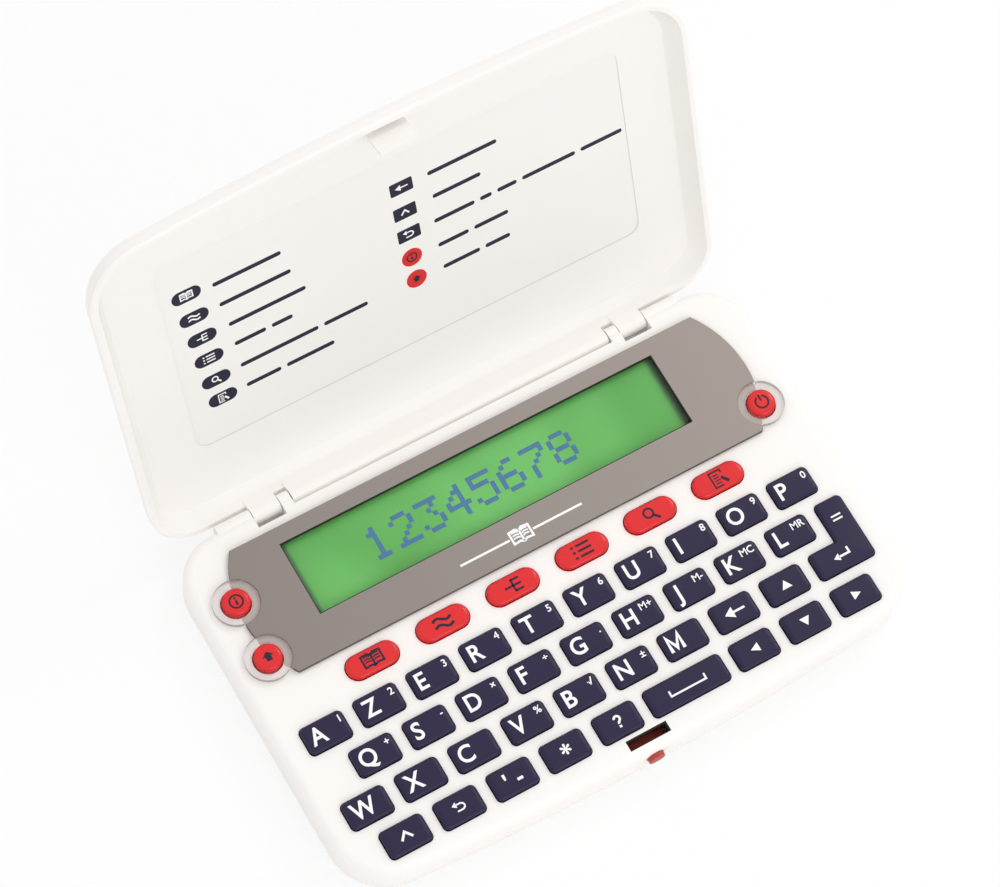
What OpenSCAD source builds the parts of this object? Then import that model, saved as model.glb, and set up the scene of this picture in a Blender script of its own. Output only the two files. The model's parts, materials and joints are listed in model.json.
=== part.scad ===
// Pocket electronic dictionary: flat base with keys and display, hinged lid with a key legend.
// Origin: centre of the underside. +X to the right, +Y to the hinge, +Z up. Rest: lid open.

/* [Case] */
// Width of base and lid, side to side
case_w = 125.2; // [122:0.2:134]
// Depth of base and lid, front to back
case_d = 78.2; // [77.6:0.2:88]
// Height of the base, from the table to its top face
base_h = 10; // [9.8:0.1:12]
// Height at which the two halves of the base meet
split_h = 5; // [4.8:0.1:5.4]
// Wall thickness of the base and the lid
wall = 1.4; // [1.2:0.1:1.6]
// Radius of the front corners, seen from above
front_r = 12; // [10:0.5:14]
// Radius of the rear corners, seen from above
rear_r = 9.5; // [8:0.5:11]
// How far the front edge bows forward at its middle
front_bow = 2.9; // [1.5:0.1:4]
// Rounding of the base's upper edge
top_round = 2; // [1:0.25:2.5]
// Rounding of the base's lower edge
foot_round = 2; // [1:0.25:2.25]
// Chamfer of each half where the two halves meet
seam = 0.25; // [0.1:0.05:0.3]

/* [Lid] */
// Thickness of the lid, rim to outer face
lid_h = 5.2; // [5:0.1:7]
// Depth of the dish inside the lid
lid_dish = 3.8; // [3.2:0.1:3.9]
// How far the dish's sides slope inward
dish_slope = 2.2; // [1:0.2:3]
// Rounding of the lid's outer edge
lid_round = 3.5; // [2:0.25:4]
// Angle of the lid above closed, as it stands open
lid_angle = 113.2; // [90:0.2:118]
// Gap between the closed lid's rim and the base
lid_gap = 0.1; // [0.1:0.05:0.3]
// Width of the printed legend panel
legend_w = 98.2; // [80:0.2:104]
// Depth of the printed legend panel
legend_d = 48.1; // [40:0.1:54]
// Corner radius of the legend panel
legend_r = 3; // [1:0.5:6]
// Thickness of the legend panel
legend_t = 0.4; // [0.3:0.05:0.5]
// Distance of the legend panel's middle in front of the case's middle
legend_forward = 2.2; // [0:0.2:4]

/* [Hinge] */
// Distance of the hinge axis in front of the rear edge
axis_inset = 0.2; // [0:0.05:0.4]
// Depth of the hinge axis below the base's top face
axis_drop = 2.05; // [2:0.05:2.4]
// Radius of the knuckles
knuckle_r = 1.7; // [1.5:0.05:1.8]
// Width of each lid knuckle
knuckle_w = 5.8; // [4:0.2:8]
// Distance of each lid knuckle's middle from the case's middle
knuckle_x = 41; // [36:0.5:42]
// Radius of the steel hinge pins
pin_r = 0.8; // [0.6:0.05:0.95]
// Running clearance round each pin
pin_gap = 0.05; // [0.02:0.01:0.1]
// Width of each base ear beside a knuckle, towards the middle
ear_w = 2.3; // [1.5:0.1:3]
// Width of each base ear beside a knuckle, towards the corner
outer_ear_w = 7.4; // [3.5:0.1:7.6]
// Gap round the barrel that joins the lid's knuckles
barrel_gap = 0.25; // [0.2:0.05:0.4]

/* [Keys] */
// Spacing of the letter keys along a row
key_pitch = 11.5; // [11.3:0.05:11.7]
// Spacing of the letter rows
row_pitch = 8.22; // [7.6:0.02:8.3]
// Width of a letter key's cap
cap_w = 8.9; // [8:0.1:9.4]
// Depth of a letter key's cap
cap_d = 5.7; // [5:0.1:6.2]
// Corner radius of a key cap
cap_r = 0.95; // [0.4:0.05:1.6]
// Height of a letter key above the top face
cap_rise = 1; // [0.9:0.1:1.4]
// Distance of the lowest row's middle from the front edge
row_inset = 8.17; // [8.1:0.05:8.8]
// Width of the space key
space_w = 17; // [14:0.5:18]
// Width of the enter key's lower bar
enter_w = 12.3; // [11:0.1:12.6]
// Width of the enter key's upright
enter_stem_w = 5.8; // [5:0.1:7]
// Width of a mode key
mode_w = 10.95; // [9:0.1:12]
// Depth of a mode key
mode_d = 4.9; // [4:0.1:5.2]
// Spacing of the mode keys
mode_pitch = 15.38; // [14.5:0.1:15.6]
// Distance of the mode keys behind the top letter row
mode_gap = 8.37; // [7:0.1:8.6]
// Radius of the three round side keys
disc_r = 2.8; // [2:0.1:3]
// Height of the round side keys above the top face
disc_rise = 1.6; // [1.4:0.1:1.8]
// Travel of every key
key_travel = 0.8; // [0.5:0.05:0.85]
// Gap between each key and the hole that it moves in
key_gap = 0.22; // [0.15:0.01:0.25]
// Thickness of the flange that holds a key under the top face
flange_t = 0.7; // [0.5:0.05:0.75]
// How far a key's flange reaches beyond its cap, each side
flange_reach = 0.55; // [0.4:0.05:0.6]

/* [Display] */
// Width of the display bezel along its straight edges
bezel_w = 103.1; // [100:0.1:104]
// Depth of the display bezel
bezel_d = 27.5; // [26:0.1:28]
// How far the bezel's ends bulge outward
bezel_bulge = 4.4; // [2:0.1:5]
// Height of the bezel above the top face
bezel_rise = 1; // [0.6:0.1:1.2]
// Distance of the bezel behind the mode keys' middle
bezel_gap = 4.4; // [4:0.1:4.8]
// Width of the display window
window_w = 82.9; // [76:0.1:84]
// Depth of the display window
window_d = 15.9; // [13:0.1:17]
// Distance of the window's middle left of the case's middle
window_left = 1.05; // [0:0.05:2]
// Distance of the window's middle behind the bezel's middle
window_back = 2.45; // [1.5:0.05:2.6]
// Width of the display glass and of the clear lens over it
glass_w = 90; // [87:0.2:91]
// Depth of the display glass and of the clear lens over it
glass_d = 21; // [20:0.1:21.4]
// Thickness of the clear lens
lens_t = 0.8; // [0.6:0.05:0.9]
// Thickness of the display glass
glass_t = 1.6; // [1.2:0.1:1.7]
// Outer radius of the clear collars round the side keys
collar_r = 4.6; // [4:0.1:4.7]
// Height of the collars above the top face
collar_rise = 1.2; // [1:0.1:1.3]

/* [Latch] */
// Width of the latch slot
slot_w = 8.9; // [8:0.1:10]
// Depth of the latch slot, front to back
slot_d = 2.2; // [2.1:0.05:2.3]
// Distance of the slot's middle from the front edge
slot_inset = 3.2; // [3.15:0.01:3.25]
// Thickness of the lid's hook
hook_t = 0.8; // [0.6:0.05:0.9]
// How far the hook reaches below the closed lid's rim
hook_reach = 4.1; // [3.6:0.1:4.2]
// Width of the release button
button_w = 3.4; // [3:0.1:5]
// Height of the release button
button_h = 3; // [2:0.1:3.2]
// How far the release button stands out of the front edge
button_out = 0.9; // [0.7:0.05:1.2]
// Travel of the release button
button_travel = 0.5; // [0.3:0.05:0.55]

/* [Inside] */
// Thickness of the circuit board
board_t = 1; // [0.8:0.1:1.1]
// Thickness of the rubber key mat
mat_t = 0.4; // [0.3:0.05:0.5]
// Height of the mat's domes
dome_h = 0.5; // [0.4:0.05:0.6]
// Radius of the mat's domes
dome_r = 2; // [1.5:0.1:2.05]
// Radius of a coin cell
cell_r = 10; // [9.5:0.1:10.1]
// Thickness of a coin cell
cell_t = 3.2; // [2.5:0.1:3.2]
// Distance of each coin cell from the case's middle
cell_x = 11; // [10.9:0.1:12.5]
// Thickness of the battery door
door_t = 0.65; // [0.5:0.05:0.7]
// Radius of the case screws
screw_r = 0.95; // [0.8:0.05:1]

/* [Hidden] */
eps = 0.01;
front_y = -case_d / 2;
back_y = case_d / 2;
under_plate = base_h - wall;

// Sides of a circle: small, large, and the corner of a rounded rectangle
fine = 32;
finest = 64;
corner_fn = 20;

// How far a cut runs past the faces that it goes through
past = 1;

// Gaps round fixed parts: tight, easy, and round one that drops in
tight = 0.05;
easy = 0.1;
loose = 0.2;

// Fillet between the walls and the floor of a hollow
inner_round = 0.5;

// Rounded outline of base and lid: bowed front edge, two corner radii
arc_steps = 8;
bow_steps = 10;
bow_r = (pow(case_w / 2, 2) + pow(front_bow, 2)) / (2 * front_bow);
bow_y = front_y + bow_r;
front_cx = case_w / 2 - front_r;
front_cy = bow_y - sqrt(pow(bow_r - front_r, 2) - pow(front_cx, 2));
bow_a = asin(front_cx / (bow_r - front_r));
rear_cx = case_w / 2 - rear_r;
rear_cy = back_y - rear_r;

// Steps of a rounded edge; one below a millimetre is a plain chamfer
function steps(r) = r < 1 ? 1 : 5;
function turn(i, r) = 90 * i / steps(r);

// Hinge
axis_y = back_y - axis_inset;
axis_z = base_h - axis_drop;
recess_w = knuckle_w + 0.3;
recess_front = axis_y - 3.1;
recess_floor = axis_z - knuckle_r - 0.5;
housing_wall = 1.1;
ear_in = knuckle_x - recess_w / 2;
ear_out = knuckle_x + recess_w / 2;
rebate_front = axis_y - knuckle_r - barrel_gap;
rebate_half = ear_in - ear_w;
pin_end = ear_out + ear_w;

// Heights of the stack under the keys, from the top face down
flange_top = under_plate - easy;
flange_bottom = flange_top - flange_t;
dome_top = flange_bottom - key_travel - easy;
mat_top = dome_top - dome_h;
board_top = mat_top - mat_t;
board_bottom = board_top - board_t;

// Places of the key rows and of the display
row4_y = front_y + row_inset;
function row_y(n) = row4_y + (4 - n) * row_pitch;
row_x = [-53, -47, -53.35, -49.8];
arrow_x = 26.7;
space_x = 11.5;
enter_right = 57.8;
mode_y = row_y(1) + mode_gap;
mode_x = -38.3;
bezel_front = mode_y + bezel_gap;
bezel_y = bezel_front + bezel_d / 2;
window_y = bezel_y + window_back;
side_keys = [["key_help", -55.4, bezel_y + 4], ["key_shift", -55.4, bezel_y - 8.5],
             ["key_power", 54.4, bezel_y - 8.6]];
LETTERS = ["azertyuiop", "qsdfghjkl", "wxcvbnm"];
LOW_KEYS = ["control", "function", "symbols", "star", "query"];
ARROWS = ["left", "down", "right"];

// Every key: node name, x, y, kind of cap
KEYS = concat(
    [for (n = [0:2], i = [0:len(LETTERS[n]) - 1])
        [str("key_", LETTERS[n][i]), row_x[n] + i * key_pitch, row_y(n + 1), "letter"]],
    [for (i = [0:1]) [["key_delete", "key_up"][i], row_x[2] + (7 + i) * key_pitch, row_y(3), "letter"]],
    [for (i = [0:4]) [str("key_", LOW_KEYS[i]), row_x[3] + i * key_pitch, row_y(4), "letter"]],
    [for (i = [0:2]) [str("key_", ARROWS[i]), arrow_x + i * key_pitch, row_y(4), "letter"]],
    [["key_space", space_x, row_y(4), "space"]],
    [["key_enter", enter_right, row_y(3), "enter"]],
    [for (i = [0:5]) [str("mode_key_", i + 1), mode_x + i * mode_pitch, mode_y, "mode"]],
    [for (s = side_keys) [s[0], s[1], s[2], "disc"]]);

// Latch and release button
slot_y = front_y + slot_inset;
slot_back = slot_y + slot_d / 2;
hook_w = slot_w - 0.9;
hook_tip = base_h + lid_gap - hook_reach;
hook_back = slot_back - 0.4;
barb_h = 0.4;
barb_d = 0.25;
catch_w = slot_w - 0.5;
catch_top = hook_tip - 0.4;
catch_bottom = catch_top - 0.7;
catch_back = slot_back + 0.7;
lip_z = hook_tip + barb_h + easy;
lip_t = 0.4;
button_z = base_h - 3.1;
inner_front = front_y + wall;
plate_front = inner_front + 0.12;
plate_back = plate_front + 0.5;
rest_front = plate_back + button_travel + easy;
arm_end = 12;
notch_w = 13;
notch_back = slot_back + 1.85;

// Coin cells, their holder and the battery door
cell_z = 1.45;
cell_gap = 0.25;
holder_wall = 1.2;
holder_w = 2 * (cell_x + cell_r + cell_gap + holder_wall);
holder_d = 2 * (cell_r + cell_gap + holder_wall);
holder_r = 3;
door_w = holder_w + 3;
door_d = holder_d + 1.5;
door_r = 2;
door_gap = 0.15;
door_lift = 0.05;
door_screw_y = cell_r - 1;
tongue_w = 10;
tongue_d = 1.1;
tongue_root = 0.3;

// Screws
boss_r = 2.1;
head_r = 1.55;
head_t = 1;
head_z = 0.4;
screw_gap = 0.15;
boss_places = [[-57.2, front_y + 9.1], [57.2, front_y + 9.1], [-55.2, back_y - 6.1], [55.2, back_y - 6.1]];

function arc(c, r, a0, a1) = [for (i = [0:arc_steps])
    [c[0] + r * cos(a0 + (a1 - a0) * i / arc_steps), c[1] + r * sin(a0 + (a1 - a0) * i / arc_steps)]];

function outline(inset) = concat(
    arc([front_cx, front_cy], front_r - inset, 0, -90 + bow_a),
    [for (i = [1:bow_steps - 1]) let (a = -90 + bow_a - 2 * bow_a * i / bow_steps)
        [(bow_r - inset) * cos(a), bow_y + (bow_r - inset) * sin(a)]],
    arc([-front_cx, front_cy], front_r - inset, -90 - bow_a, -180),
    arc([-rear_cx, rear_cy], rear_r - inset, 180, 90),
    arc([rear_cx, rear_cy], rear_r - inset, 90, 0));

// Closed body through outlines stacked upward, each given as height and inset
module loft(rings) {
    n = len(outline(0));
    top = n * (len(rings) - 1);
    polyhedron(
        points = [for (g = rings, p = outline(g[1])) [p[0], p[1], g[0]]],
        faces = concat(
            [[for (k = [0:n - 1]) n - 1 - k]],
            [[for (k = [0:n - 1]) top + k]],
            [for (j = [0:len(rings) - 2], k = [0:n - 1]) let (m = (k + 1) % n)
                [j * n + k, j * n + m, (j + 1) * n + m, (j + 1) * n + k]]));
}

// Body with the outline between two heights, its lower and upper edge rounded
module slab(z0, z1, low_r, high_r, inset = 0) {
    low = low_r == 0 ? [[z0, inset]] : [for (i = [0:steps(low_r)])
        [z0 + low_r * (1 - sin(turn(i, low_r))), inset + low_r * (1 - cos(turn(i, low_r)))]];
    high = high_r == 0 ? [[z1, inset]] : [for (i = [0:steps(high_r)])
        [z1 - high_r * (1 - sin(turn(i, high_r))), inset + high_r * (1 - cos(turn(i, high_r)))]];
    loft(concat([for (i = [1:len(low)]) low[len(low) - i]], high));
}

module rounded(w, d, r) {
    square([w, d - 2 * r], center = true);
    square([w - 2 * r, d], center = true);
    for (x = [-1, 1], y = [-1, 1]) translate([x * (w / 2 - r), y * (d / 2 - r)])
        circle(r, $fn = corner_fn);
}

// Bar with half-round ends
module capsule(w, d) {
    square([w - d, d], center = true);
    for (x = [-1, 1]) translate([x * (w - d) / 2, 0]) circle(d / 2, $fn = fine);
}

// Outline of a key's cap, seen from above, with a margin
module cap_shape(kind, m = 0) {
    if (kind == "letter") rounded(cap_w + 2 * m, cap_d + 2 * m, cap_r + m);
    if (kind == "space") rounded(space_w + 2 * m, cap_d + 2 * m, cap_r + m);
    if (kind == "mode") capsule(mode_w + 2 * m, mode_d + 2 * m);
    if (kind == "disc") circle(disc_r + m, $fn = fine);
    if (kind == "enter") {
        enter_bar(m);
        enter_stem(m);
    }
}

module enter_bar(m) {
    translate([-enter_w / 2, 0]) rounded(enter_w + 2 * m, cap_d + 2 * m, cap_r + m);
}

module enter_stem(m) {
    translate([-enter_stem_w / 2, row_pitch / 2])
        rounded(enter_stem_w + 2 * m, row_pitch + cap_d + 2 * m, cap_r + m);
}

// Upper part of a key with its edge bevelled in three steps
module bevelled(z0, z1, bevel) {
    hull() {
        for (s = [[0, 1], [0.25, 0.35], [1, 0]])
            translate([0, 0, max(z0, z1 - eps - bevel * s[1])]) linear_extrude(eps)
                offset(delta = -bevel * s[0]) children();
    }
    translate([0, 0, z0]) linear_extrude(z1 - bevel - z0) children();
}

module key(k) {
    kind = k[3];
    red = kind == "mode" || kind == "disc";
    rise = kind == "disc" ? disc_rise : cap_rise;
    bevel = red ? 0.6 : 0.5;
    color(red ? "#e8322d" : "#352b52") translate([k[1], k[2], 0]) {
        if (kind == "enter") {
            bevelled(flange_top, base_h + rise, bevel) enter_bar(0);
            bevelled(flange_top, base_h + rise, bevel) enter_stem(0);
        } else {
            bevelled(flange_top, base_h + rise, bevel) cap_shape(kind);
        }
        translate([0, 0, flange_bottom]) linear_extrude(flange_t) key_flange(kind);
    }
}

// A letter key's flange widens it only sideways, because the rows lie close together
module key_flange(kind) {
    if (kind == "disc") circle(disc_r + flange_reach, $fn = fine);
    if (kind == "letter") square([cap_w + 2 * flange_reach, cap_d], center = true);
    if (kind == "space") square([space_w + 2 * flange_reach, cap_d], center = true);
    if (kind == "mode") square([mode_w + 2 * flange_reach, mode_d], center = true);
    if (kind == "enter") translate([-enter_w - flange_reach, -cap_d / 2])
        square([enter_w + 2 * flange_reach, cap_d]);
}

// Middle of the dome under a key, from the key's own place
function dome_dx(kind) = kind == "enter" ? -enter_w / 2 : 0;

module bosses(z0, z1, r) {
    for (p = boss_places) translate([p[0], p[1], z0]) cylinder(h = z1 - z0, r = r, $fn = fine);
}

// Cylinder along X round the hinge axis, mirrored to both hinges
module on_axis(x0, x1, r) {
    for (s = [-1, 1]) translate([s * (x0 + x1) / 2, axis_y, axis_z]) rotate([0, 90, 0])
        cylinder(h = x1 - x0, r = r, center = true, $fn = fine);
}

// Box given by its low and high corners
module span(low, high) {
    translate(low) cube(high - low);
}

module button_face(m) {
    rounded(button_w + 2 * m, button_h + 2 * m, min(button_w, button_h) / 2 + m - 0.1);
}

// Hole through the top face with the outline of its child
module top_hole(x, y) {
    translate([x, y, under_plate - past]) linear_extrude(wall + 2 * past) children();
}

module top_case() {
    color("#fbf8f4") difference() {
        union() {
            difference() {
                slab(split_h, base_h, seam, top_round);
                slab(split_h - past, under_plate, 0, inner_round, wall);
            }
            bosses(split_h + tight, under_plate + eps, boss_r);
            for (s = [-1, 1]) translate([s * knuckle_x, 0, 0])
                span([-recess_w / 2 - housing_wall, recess_front - housing_wall, split_h],
                     [recess_w / 2 + housing_wall, back_y - wall / 2, under_plate + eps]);
            span([-ear_in, rebate_front - housing_wall, split_h],
                 [ear_in, back_y - wall / 2, under_plate + eps]);
            on_axis(ear_in - ear_w, ear_in + eps, knuckle_r);
            on_axis(ear_out - eps, ear_out + outer_ear_w, knuckle_r);
        }
        for (k = KEYS) top_hole(k[1], k[2]) cap_shape(k[3], key_gap);
        top_hole(-window_left, window_y) square([glass_w + 2 * loose, glass_d + 2 * loose], center = true);
        top_hole(0, slot_y) square([slot_w, slot_d], center = true);
        translate([0, inner_front + past, button_z]) rotate([90, 0, 0])
            linear_extrude(wall + 2 * past) button_face(0.15);
        for (s = [-1, 1]) translate([s * knuckle_x, 0, 0])
            span([-recess_w / 2, recess_front, recess_floor], [recess_w / 2, back_y + past, base_h + past]);
        span([-rebate_half, rebate_front, recess_floor], [rebate_half, back_y + past, base_h + past]);
        on_axis(ear_in - ear_w - past, pin_end + easy, pin_r + pin_gap);
        bosses(split_h - past, under_plate - 0.4, screw_r + tight);
    }
}

module bottom_case() {
    rail_x = 3;
    rail_w = 1;
    post_w = 1.2;
    hook_d = 1.4;
    color("#f4f0ea") difference() {
        union() {
            difference() {
                slab(0, split_h, foot_round, seam);
                slab(wall, split_h + past, inner_round, 0, wall);
            }
            bosses(wall - eps, split_h, boss_r);
            translate([0, 0, wall - eps]) linear_extrude(board_bottom - wall + eps)
                rounded(holder_w, holder_d, holder_r);
            for (s = [-1, 1]) {
                span([s * rail_x - rail_w / 2, rest_front, wall - eps],
                     [s * rail_x + rail_w / 2, catch_back, catch_bottom - easy]);
                span([s * arm_end - post_w / 2, rest_front, wall - eps],
                     [s * arm_end + post_w / 2, rest_front + post_w, board_bottom - easy]);
            }
        }
        for (s = [-1, 1]) translate([s * cell_x, 0, -past])
            cylinder(h = base_h, r = cell_r + cell_gap, $fn = finest);
        translate([0, 0, -eps]) linear_extrude(door_lift + door_t + tight)
            rounded(door_w + 2 * door_gap, door_d + 2 * door_gap, door_r);
        span([-tongue_w / 2 - door_gap, -door_d / 2 - hook_d, door_t],
             [tongue_w / 2 + door_gap, -door_d / 2 + tongue_root + door_gap, wall + past]);
        translate([0, door_screw_y, 0])
            cylinder(h = board_bottom - 0.8, r = screw_r + tight, $fn = fine);
        bosses(-past, split_h + past, screw_r + screw_gap);
        bosses(-past, head_z + head_t + easy, head_r + screw_gap);
    }
}

// Grey barrel-shaped frame round the display
module display_bezel() {
    end_r = (pow(bezel_d / 2, 2) + pow(bezel_bulge, 2)) / (2 * bezel_bulge);
    color("#aaa39d") difference() {
        translate([0, bezel_y, base_h]) linear_extrude(bezel_rise) intersection() {
            square([bezel_w + 3 * bezel_bulge, bezel_d], center = true);
            union() {
                square([bezel_w, bezel_d], center = true);
                for (s = [-1, 1]) translate([s * (bezel_w / 2 + bezel_bulge - end_r), 0])
                    circle(end_r, $fn = 3 * fine);
            }
        }
        translate([-window_left, window_y, base_h - past]) linear_extrude(bezel_rise + 2 * past)
            square([window_w, window_d], center = true);
        for (s = side_keys) translate([s[1], s[2], base_h - past])
            cylinder(h = bezel_rise + 2 * past, r = collar_r + easy, $fn = fine);
    }
}

module lens_and_collars() {
    color("#e6ece8", 0.5) {
        translate([-window_left, window_y, base_h - lens_t]) linear_extrude(lens_t)
            square([glass_w, glass_d], center = true);
        for (s = side_keys) translate([s[1], s[2], base_h]) difference() {
            cylinder(h = collar_rise, r = collar_r, $fn = finest);
            translate([0, 0, -past])
                cylinder(h = collar_rise + 2 * past, r = disc_r + 0.35, $fn = fine);
        }
    }
}

// Display glass with its backing sheet, on two rubber connector strips
module lcd_module() {
    glass_top = base_h - lens_t - easy;
    sheet_t = 0.3;
    sheet_inset = 0.5;
    strip_d = 2;
    strip_inset = 3;
    translate([-window_left, window_y, 0]) {
        color("#76b765") translate([0, 0, glass_top - glass_t]) linear_extrude(glass_t)
            square([glass_w, glass_d], center = true);
        color("#c9d0c4") translate([0, 0, glass_top - glass_t - sheet_t]) linear_extrude(sheet_t)
            square([glass_w - 2 * sheet_inset, glass_d - 2 * sheet_inset], center = true);
        color("#d98f9a") for (s = [-1, 1]) translate([0, s * (glass_d / 2 - strip_d), board_top])
            linear_extrude(glass_top - glass_t - sheet_t - board_top)
                square([glass_w - 2 * strip_inset, strip_d], center = true);
    }
}

// Board with its chips and crystal below and the cells' contact leaves
module circuit_board() {
    board_back = recess_front - housing_wall - 0.3;
    contact_t = board_bottom - cell_z - cell_t - tight;
    contact_w = 10;
    contact_d = 4;
    chip = [-38, 4];
    chip_r = 6;
    chip_t = 1.2;
    driver_low = [32, -2];
    driver_high = [46, 8];
    crystal = [-38, -12];
    crystal_t = 1.5;
    color("#2f7d4f") difference() {
        translate([0, 0, board_bottom]) linear_extrude(board_t) intersection() {
            polygon(outline(wall + 1));
            translate([-case_w / 2, front_y]) square([case_w, board_back - front_y]);
        }
        bosses(0, base_h, boss_r + 0.3);
        span([-notch_w / 2, front_y, 0], [notch_w / 2, notch_back, base_h]);
    }
    color("#1c1c20") {
        translate([chip[0], chip[1], board_bottom - chip_t]) cylinder(h = chip_t, r = chip_r, $fn = fine);
        span([driver_low[0], driver_low[1], board_bottom - chip_t],
             [driver_high[0], driver_high[1], board_bottom]);
    }
    color("#c8ccd0") {
        for (s = [-1, 1])
            span([s * cell_x - contact_w / 2, -contact_d / 2, board_bottom - contact_t],
                 [s * cell_x + contact_w / 2, contact_d / 2, board_bottom]);
        translate([crystal[0], crystal[1], board_bottom - crystal_t]) linear_extrude(crystal_t)
            rounded(9, 3.5, 1.7);
    }
}

// Rubber sheet with a dome under each key
module key_mat() {
    mat_front = front_y + 5;
    mat_back = bezel_front - 1.2;
    lobe_in = 51;
    lobe_out = 59.6;
    left_back = bezel_y + 7.4;
    right_back = bezel_y - 4;
    color("#c9c6cf") {
        difference() {
            translate([0, 0, board_top]) linear_extrude(mat_t) {
                intersection() {
                    polygon(outline(wall + 1.4));
                    translate([-case_w / 2, mat_front]) square([case_w, mat_back - mat_front]);
                }
                translate([-lobe_out, mat_back - eps])
                    square([lobe_out - lobe_in, left_back - mat_back + eps]);
                translate([lobe_in, mat_back - eps])
                    square([lobe_out - lobe_in, right_back - mat_back + eps]);
            }
            bosses(0, base_h, boss_r + 0.3);
            span([-notch_w / 2, front_y, 0], [notch_w / 2, notch_back, base_h]);
        }
        for (k = KEYS) translate([k[1] + dome_dx(k[3]), k[2], mat_top - eps])
            cylinder(h = dome_h + eps, r = dome_r, $fn = fine);
    }
}

// Pieces of the lid are drawn closed and turned open about the hinge axis
module opened() {
    translate([0, axis_y, axis_z]) rotate([-lid_angle, 0, 0]) translate([0, -axis_y, -axis_z]) children();
}

module lid_shell() {
    rim = base_h + lid_gap;
    floor_z = rim + lid_dish;
    rim_round = 0.4;
    web_top = rim + 1.5;
    barrel_half = rebate_half - barrel_gap;
    color("#fbf8f4") opened() difference() {
        union() {
            difference() {
                slab(rim, rim + lid_h, rim_round, lid_round);
                loft([[rim - past, wall], [rim, wall],
                      [rim + lid_dish * 0.6, wall + dish_slope * 0.35],
                      [floor_z, wall + dish_slope]]);
                translate([0, -legend_forward, rim + past])
                    linear_extrude(floor_z - rim - past + legend_t + easy)
                        rounded(legend_w + 2 * loose, legend_d + 2 * loose, legend_r + loose);
            }
            for (g = [[-knuckle_x, knuckle_w / 2], [0, barrel_half], [knuckle_x, knuckle_w / 2]])
                translate([g[0], 0, 0]) span([-g[1], axis_y - knuckle_r, axis_z],
                                             [g[1], back_y - 0.3, web_top]);
            on_axis(knuckle_x - knuckle_w / 2, knuckle_x + knuckle_w / 2, knuckle_r);
            on_axis(-eps, barrel_half, knuckle_r);
            span([-hook_w / 2, hook_back - hook_t, hook_tip], [hook_w / 2, hook_back, floor_z + loose]);
            span([-hook_w / 2, hook_back - eps, hook_tip],
                 [hook_w / 2, hook_back + barb_d, hook_tip + barb_h]);
        }
        on_axis(knuckle_x - knuckle_w / 2 - easy, knuckle_x + knuckle_w / 2 + easy, pin_r + pin_gap);
    }
}

module legend_panel() {
    color("#f6f3ec") opened()
        translate([0, -legend_forward, base_h + lid_gap + lid_dish + easy])
            linear_extrude(legend_t) rounded(legend_w, legend_d, legend_r);
}

// Door with a pad that lifts each cell and a tongue that hooks over the floor
module battery_door() {
    door_top = door_lift + door_t;
    pad_inset = 0.1;
    color("#f4f0ea") difference() {
        union() {
            translate([0, 0, door_lift]) linear_extrude(door_t)
                rounded(door_w, door_d, door_r - door_gap);
            for (s = [-1, 1]) translate([s * cell_x, 0, door_top - eps])
                cylinder(h = cell_z - tight - door_top + eps, r = cell_r - pad_inset, $fn = finest);
            span([-tongue_w / 2, -door_d / 2 - tongue_d, door_top + easy],
                 [tongue_w / 2, -door_d / 2 + eps, wall]);
            span([-tongue_w / 2, -door_d / 2, door_top - eps],
                 [tongue_w / 2, -door_d / 2 + tongue_root, wall]);
        }
        translate([0, door_screw_y, -past])
            cylinder(h = wall + 2 * past, r = screw_r + screw_gap, $fn = fine);
    }
}

module coin_cells() {
    rim_t = 0.5;
    rim_w = 0.9;
    color("#cfd3d6") for (s = [-1, 1]) translate([s * cell_x, 0, cell_z]) {
        cylinder(h = cell_t - rim_t, r = cell_r, $fn = finest);
        translate([0, 0, cell_t - rim_t - eps])
            cylinder(h = rim_t + eps, r = cell_r - rim_w, $fn = finest);
    }
}

// Oval button, the plate behind the wall, the catch under the slot and two spring arms
module release_button() {
    plate_bottom = catch_bottom - 0.6;
    hooked_t = 0.5;
    color("#e0342e") {
        translate([0, plate_front + eps, button_z]) rotate([90, 0, 0])
            linear_extrude(plate_front + eps - front_y + button_out) button_face(0);
        span([-catch_w / 2, plate_front, plate_bottom],
             [catch_w / 2, plate_back, under_plate - inner_round - easy]);
        span([-catch_w / 2, plate_front, catch_bottom], [catch_w / 2, catch_back, catch_top]);
        span([-catch_w / 2, catch_back - hooked_t, catch_top - eps],
             [catch_w / 2, catch_back, lip_z + lip_t]);
        span([-catch_w / 2, slot_back - tight, lip_z], [catch_w / 2, catch_back, lip_z + lip_t]);
        span([-arm_end, plate_front + easy, plate_bottom], [arm_end, plate_back, catch_bottom]);
    }
}

module screws_and_pins() {
    pin_inset = 0.2;
    color("#b9bdc2") {
        on_axis(ear_in - ear_w + pin_inset, pin_end - pin_inset, pin_r);
        bosses(head_z, head_z + head_t, head_r);
        bosses(head_z + head_t - eps, under_plate - 0.8, screw_r);
        translate([0, door_screw_y, door_lift + 0.15])
            cylinder(h = board_bottom - 1.2, r = screw_r, $fn = fine);
    }
}

top_case();
bottom_case();
display_bezel();
lens_and_collars();
lcd_module();
circuit_board();
key_mat();
lid_shell();
legend_panel();
battery_door();
coin_cells();
release_button();
screws_and_pins();
for (k = KEYS) key(k);
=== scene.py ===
# Pocket electronic dictionary: white case with keys and a display, and a hinged lid with a key legend.
# Everything is in metres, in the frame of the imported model; sizes in the text are in millimetres.
import json
import math

import bmesh
import bpy
from mathutils import Matrix, Vector


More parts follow.
